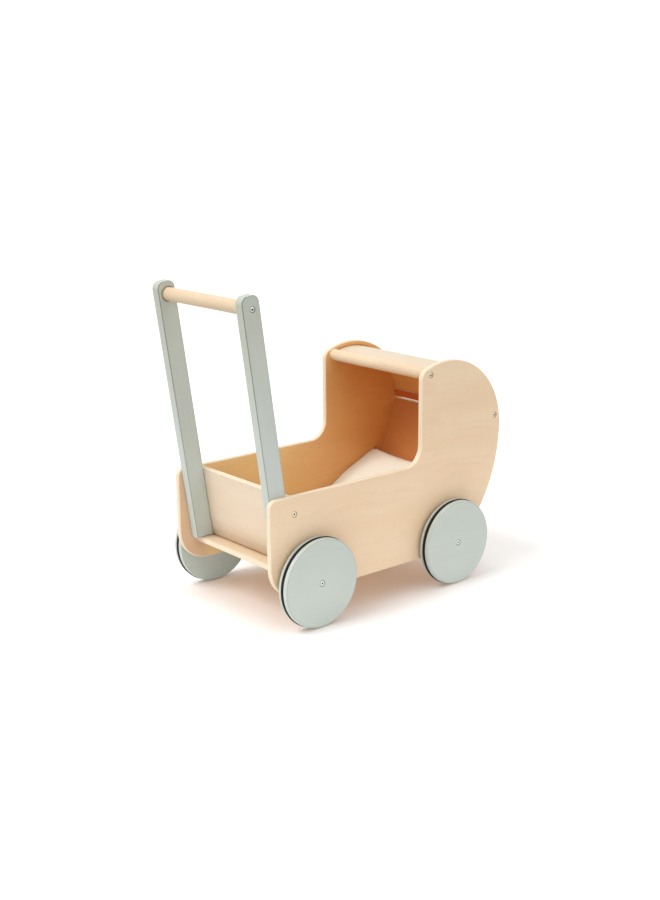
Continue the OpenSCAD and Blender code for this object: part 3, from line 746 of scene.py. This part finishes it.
# ---- The screws ----
# Zinc-plated screws with low round heads and hexagon sockets sit sunk just below the wood. Their heads
# differ slightly between the panels, the bars and the axles' ends. The panels' are painted yellower, a
# painted reflection of the warm wood round them, and the sockets and the rings beside the heads are painted
# dark as painted shade.
dull_zinc, bright_zinc, sunk_painted_shade = (0.86, 0.83, 0.77), (0.95, 0.93, 0.88), (0.1, 0.075, 0.055)
cool_tint, painted_reflection_yellow = (0.9, 0.92, 0.94), (1.05, 0.92, 0.75)
zinc, tree, shader = new_material("zinc_plate", (0.88, 0.84, 0.76), 0.38, 1.0)
zinc_place = own_place(tree)
patina = stretched_noise(tree, zinc_place, (350, 350, 350), 4.0)
# Painted reflection: the panels' screws are tinted yellow for the warm wood round them.
plating_and_reflection_tint = mixed(tree, mark_read(tree, "yellowing"), cool_tint, painted_reflection_yellow)
plating_and_reflection = mixed(tree, 1.0, mixed(tree, patina, dull_zinc, bright_zinc), plating_and_reflection_tint, "MULTIPLY")
# Painted shade: faces marked sunk are painted dark brown.
tree.links.new(mixed(tree, mark_read(tree, "sunk"), plating_and_reflection, sunk_painted_shade), shader.inputs["Base Color"])
tree.links.new(band(tree, patina, 0.3, 0.75, 0.3, 0.46), shader.inputs["Roughness"])
raise_surface(tree, shader, stretched_noise(tree, zinc_place, (4000, 4000, 4000)), 0.12, 0.00005)

shank_r, socket_r, head_chamfer = 0.002, 0.0013, 0.0003
socket_share = 0.72


def hexagon(angle):
    """The distance from a socket's middle to its wall, which is socket_r at the flats."""
    return socket_r / math.cos((angle % (math.pi / 3)) - math.pi / 6)


def screw_pattern(name, head_r, head_h, length, yellowing):
    """One screw along -Z, with the top of its head at the origin."""
    tip = -head_h - length
    bm = bmesh.new()
    steps_round = 48
    angles = [2 * math.pi * i / steps_round for i in range(steps_round)]
    rings = []
    for r, z in ((0.0, tip), (shank_r * 0.7, tip), (shank_r, tip + shank_r),
                 (shank_r, -head_h), (head_r - head_chamfer, -head_h), (head_r, -head_h + head_chamfer),
                 (head_r, -head_chamfer * 1.6), (head_r - head_chamfer * 0.4, -head_chamfer * 0.7),
                 (head_r - head_chamfer * 1.3, -head_chamfer * 0.12),
                 (socket_r * 1.5, 0.0), (socket_r * 1.3, 0.0)):
        rings.append([bm.verts.new((r * math.cos(a), r * math.sin(a), z)) for a in angles])
    for z in (-head_chamfer, -head_h * socket_share):
        rings.append([bm.verts.new((hexagon(a) * math.cos(a), hexagon(a) * math.sin(a), z)) for a in angles])
    for low_ring, high_ring in zip(rings, rings[1:]):
        for i in range(steps_round):
            j = (i + 1) % steps_round
            bm.faces.new((low_ring[i], low_ring[j], high_ring[j], high_ring[i]))
    bm.faces.new(rings[-1])
    bmesh.ops.remove_doubles(bm, verts=bm.verts, dist=1e-6)
    bmesh.ops.recalc_face_normals(bm, faces=bm.faces)
    # The socket's walls and floor and the ring beside the head are marked sunk, for their painted shade.
    sunk = []
    for face in bm.faces:
        middle = face.calc_center_median()
        out = math.hypot(middle.x, middle.y)
        in_socket_or_beside_head = out < head_r * 0.6 or out > head_r - head_chamfer
        sunk.append(float(middle.z < -head_chamfer * 1.2 and in_socket_or_beside_head))
    screw = mesh_object(name, bm, zinc)
    mark_faces(screw.data, "sunk", sunk)
    mark_faces(screw.data, "yellowing", [yellowing] * len(sunk))
    return screw


# Geometry nodes that set a screw at each point, turned to its aim and by a random part turn.
setter = bpy.data.node_groups.new("set_screws", "GeometryNodeTree")
for label, kind in (("Points", "Geometry"), ("Screw", "Object"), ("Metal", "Material"), ("Turn seed", "Int")):
    setter.interface.new_socket(name=label, in_out="INPUT", socket_type="NodeSocket" + kind)
setter.interface.new_socket(name="Screws", in_out="OUTPUT", socket_type="NodeSocketGeometry")
given = setter.nodes.new("NodeGroupInput").outputs
aim = add(setter, "GeometryNodeInputNamedAttribute", {"Name": "aim"}, data_type="FLOAT_VECTOR")
facing = add(setter, "FunctionNodeAlignRotationToVector", {"Vector": aim.outputs["Attribute"]}, axis="Z")
part_turn = add(setter, "FunctionNodeRandomValue", {"Seed": given["Turn seed"]}, data_type="FLOAT")
part_turn.inputs[3].default_value = math.pi / 3
twist = add(setter, "ShaderNodeCombineXYZ", {"Z": part_turn.outputs[1]})
twisted = add(setter, "FunctionNodeEulerToRotation", {0: twist.outputs[0]})
turned = add(setter, "FunctionNodeRotateRotation", {
    "Rotation": facing.outputs[0], "Rotate By": twisted.outputs[0]}, rotation_space="LOCAL")
pattern = add(setter, "GeometryNodeObjectInfo", {"Object": given["Screw"]})
placed = add(setter, "GeometryNodeInstanceOnPoints", {
    "Points": given["Points"], "Instance": pattern.outputs["Geometry"], "Rotation": turned.outputs[0]})
real = add(setter, "GeometryNodeRealizeInstances", {0: placed.outputs[0]})
plated = add(setter, "GeometryNodeSetMaterial", {"Geometry": real.outputs[0], "Material": given["Metal"]})
setter.links.new(plated.outputs[0], setter.nodes.new("NodeGroupOutput").inputs["Screws"])


def set_modifier_input(modifier, name, value):
    """Sets a geometry-nodes input by its socket's identifier."""
    for item in modifier.node_group.interface.items_tree:
        if item.item_type == "SOCKET" and item.in_out == "INPUT" and item.name == name:
            modifier[item.identifier] = value


def loose_solids(node):
    """The corner points of each separate solid in a CAD node, always in the same order."""
    bm = cad_mesh(node)
    left = set(bm.verts)
    solids = []
    for start in bm.verts:
        if start not in left:
            continue
        left.remove(start)
        reached = [start]
        for vert in reached:
            joined = [v for v in (e.other_vert(vert) for e in vert.link_edges) if v in left]
            left.difference_update(joined)
            reached.extend(joined)
        solids.append(np.array([v.co for v in reached]))
    bm.free()
    return solids


bar_screw_aim = Vector((math.cos(handle_tilt), 0, math.sin(handle_tilt)))
for seed, (name, node, head_r, head_h, length, yellowing) in enumerate((
        ("screws_nose_rail", "nose_rail_screws", 0.0038, 0.0022, 0.040, 1.0),
        ("screws_batten", "batten_screws", 0.0038, 0.0022, 0.040, 1.0),
        ("screws_rear_board", "rear_board_screws", 0.0038, 0.0022, 0.040, 1.0),
        ("screws_grip", "grip_screws", 0.0037, 0.0022, 0.040, 0.0),
        ("screws_bars", "bar_screws", 0.0037, 0.0022, 0.026, 0.0),
        ("screws_axles", "axle_screws", 0.0039, 0.003, 0.014, 0.0))):
    pattern_screw = screw_pattern("pattern_of_" + name, head_r, head_h, length, yellowing)
    bm = bmesh.new()
    aims = []
    for solid in loose_solids(node):
        outward = Vector((0, math.copysign(1, solid[:, 1].mean()), 0))
        aims.append(bar_screw_aim if node == "bar_screws" else outward)
        reach = solid @ np.array(aims[-1])
        bm.verts.new(solid[reach > reach.max() - 1e-5].mean(0))
    group_screws = mesh_object(name, bm, zinc)
    mark_points(group_screws.data, "aim", aims)
    setting = group_screws.modifiers.new("set_screws", "NODES")
    setting.node_group = setter
    set_modifier_input(setting, "Screw", pattern_screw)
    set_modifier_input(setting, "Metal", zinc)
    set_modifier_input(setting, "Turn seed", seed)
    settle(group_screws)
    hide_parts(node)
    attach(group_screws, "chassis")
    bpy.data.objects.remove(pattern_screw)


# ---- The pillow ----
# A small pillow of plain-woven natural cotton, two pieces of cloth sewn together along a knife edge
# and lightly filled with fibre. It lies loose on the floor board and leans on the front board.
yarn_step = 0.0006
pillow_cotton, tree, shader = new_material("pillow_cotton", (0.86, 0.81, 0.72), 0.85)
shader.inputs["Sheen Weight"].default_value = 0.25
shader.inputs["Sheen Roughness"].default_value = 0.5
shader.inputs["Specular IOR Level"].default_value = 0.2
cloth_place = mark_read(tree, "cloth", "Vector")
cloth_axes = add(tree, "ShaderNodeSeparateXYZ", {0: cloth_place})
slubs = stretched_noise(tree, cloth_place, (90, 900, 0), 3.0)
cross_slubs = stretched_noise(tree, cloth_place, (900, 90, 0), 3.0)


def yarn_wave(axis, other, slub):
    """The height of one set of yarns, which rise and dip past the other set."""
    turn = 2 * math.pi / yarn_step
    ridge = maths(tree, "SINE", maths(tree, "MULTIPLY", cloth_axes.outputs[axis], turn))
    dip = maths(tree, "SINE", maths(tree, "MULTIPLY", cloth_axes.outputs[other], turn / 2))
    return maths(tree, "MULTIPLY", maths(tree, "ABSOLUTE", maths(tree, "MULTIPLY", ridge, dip)),
                 maths(tree, "ADD", slub, 0.5))


between_yarns, yarn_cream = (0.87, 0.85, 0.72), (0.97, 0.97, 0.87)
slub_white, slub_straw = (0.97, 0.95, 0.87), (0.84, 0.79, 0.66)
weave = maths(tree, "MAXIMUM", yarn_wave("X", "Y", slubs), yarn_wave("Y", "X", cross_slubs))
cotton = mixed(tree, band(tree, weave, 0.1, 0.8), between_yarns, yarn_cream)
cotton = mixed(tree, band(tree, slubs, 0.5, 0.75, 0.0, 0.3), cotton, slub_white)
cotton = mixed(tree, band(tree, cross_slubs, 0.55, 0.8, 0.0, 0.3), cotton, slub_straw)
tree.links.new(cotton, shader.inputs["Base Color"])
raise_surface(tree, shader, weave, 0.35, 0.0001)


def sewn_cloths(length, width, cell, lift):
    """Two cloths that share their edge, with a little filling to part them."""
    rows, columns = round(length / cell), round(width / cell)
    bm = bmesh.new()
    upper, lower = {}, {}
    for i in range(rows + 1):
        for j in range(columns + 1):
            u, v = i / rows * 2 - 1, j / columns * 2 - 1
            rise = lift * (1 - u * u) * (1 - v * v)
            place = Vector((u * length / 2, v * width / 2, rise))
            upper[i, j] = bm.verts.new(place)
            hem = i in (0, rows) or j in (0, columns)
            lower[i, j] = upper[i, j] if hem else bm.verts.new(place * Vector((1, 1, -1)))
    for i in range(rows):
        for j in range(columns):
            bm.faces.new((upper[i, j], upper[i + 1, j], upper[i + 1, j + 1], upper[i, j + 1]))
            bm.faces.new((lower[i, j], lower[i, j + 1], lower[i + 1, j + 1], lower[i + 1, j]))
    return bm


pillow_cut = (0.154, 0.254)
cloth_cell, first_filling = 0.004, 0.004
filling_pressure, filling_steps = 6, 17
bm = sewn_cloths(*pillow_cut, cloth_cell, first_filling)
cut_places = [v.co.copy() for v in bm.verts]
pillow = mesh_object("pillow_cover", bm, pillow_cotton, 180)
mark_points(pillow.data, "cloth", cut_places)
filling = pillow.modifiers.new("filling", "CLOTH")
filling.settings.quality = 6
filling.settings.use_pressure = True
filling.settings.uniform_pressure_force = filling_pressure
filling.settings.effector_weights.gravity = 0
filling.settings.bending_stiffness = 0.2
filling.point_cache.frame_end = filling_steps
for step in range(filling_steps):
    bpy.context.scene.frame_set(step + 1)
settle(pillow)
smooth = pillow.modifiers.new("smooth", "SUBSURF")
smooth.levels = smooth.render_levels = 1
settle(pillow)

# The pillow lies up a slope, with its foot on the floor board and its head against the front board.
# It sags in the middle, its two head corners stand up like ears, and it flattens where it touches
# wood. The cut runs from -1 to 1 along it and across it.
pillow_lean = math.radians(25)
middle_sag, side_lift = 0.007, 0.008
ear_lift, ear_pull, ear_start, ear_full = 0.009, 0.012, 0.25, 0.65
head_back, head_down = 0.012, 0.003
touch_gap = 0.0004
front_board_level_thick = 0.00955
floor_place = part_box("floor_board")[1].z
panel_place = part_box("side_panel_left")[0].y
board_foot, board_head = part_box("front_board")
board_slope = (board_head.x - board_foot.x - front_board_level_thick) / (board_head.z - board_foot.z)
pillow_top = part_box("pillow")[1]
cut = np.empty(len(pillow.data.vertices) * 3, np.float32)
pillow.data.attributes["cloth"].data.foreach_get("vector", cut)
cut = cut.reshape(-1, 3) / (pillow_cut[0] / 2, pillow_cut[1] / 2, 1)
points = np.array([v.co for v in pillow.data.vertices])
sag = middle_sag * (1 - cut[:, 0] ** 2) * (1 - cut[:, 1] ** 2) - side_lift * np.abs(cut[:, 1]) ** 3
ear = np.clip(cut[:, 0], 0, 1) ** 2 * np.clip(np.abs(cut[:, 1]) - ear_start, 0, 1) ** 1.5 / ear_full
points[:, 2] += ear_lift * ear - sag
points[:, 0] -= ear_pull * ear
points[:, [0, 2]] = points[:, [0, 2]] @ np.array([
    [math.cos(pillow_lean), math.sin(pillow_lean)], [-math.sin(pillow_lean), math.cos(pillow_lean)]])
head_corner = np.argmax(cut[:, 0] + cut[:, 1])
points[:, 0] += pillow_top.x - head_back - points[head_corner, 0]
points[:, 2] += pillow_top.z - head_down - points[head_corner, 2]
points[:, 1] = np.clip(points[:, 1], touch_gap - panel_place, panel_place - touch_gap)
points[:, 2] = np.maximum(points[:, 2], floor_place + touch_gap)
board_face = board_foot.x - touch_gap + (points[:, 2] - floor_place) * board_slope
points[:, 0] = np.minimum(points[:, 0], board_face)
pillow.data.vertices.foreach_set("co", points.ravel())
pillow.data.update()
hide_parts("pillow")
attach(pillow, "loose_pillow")
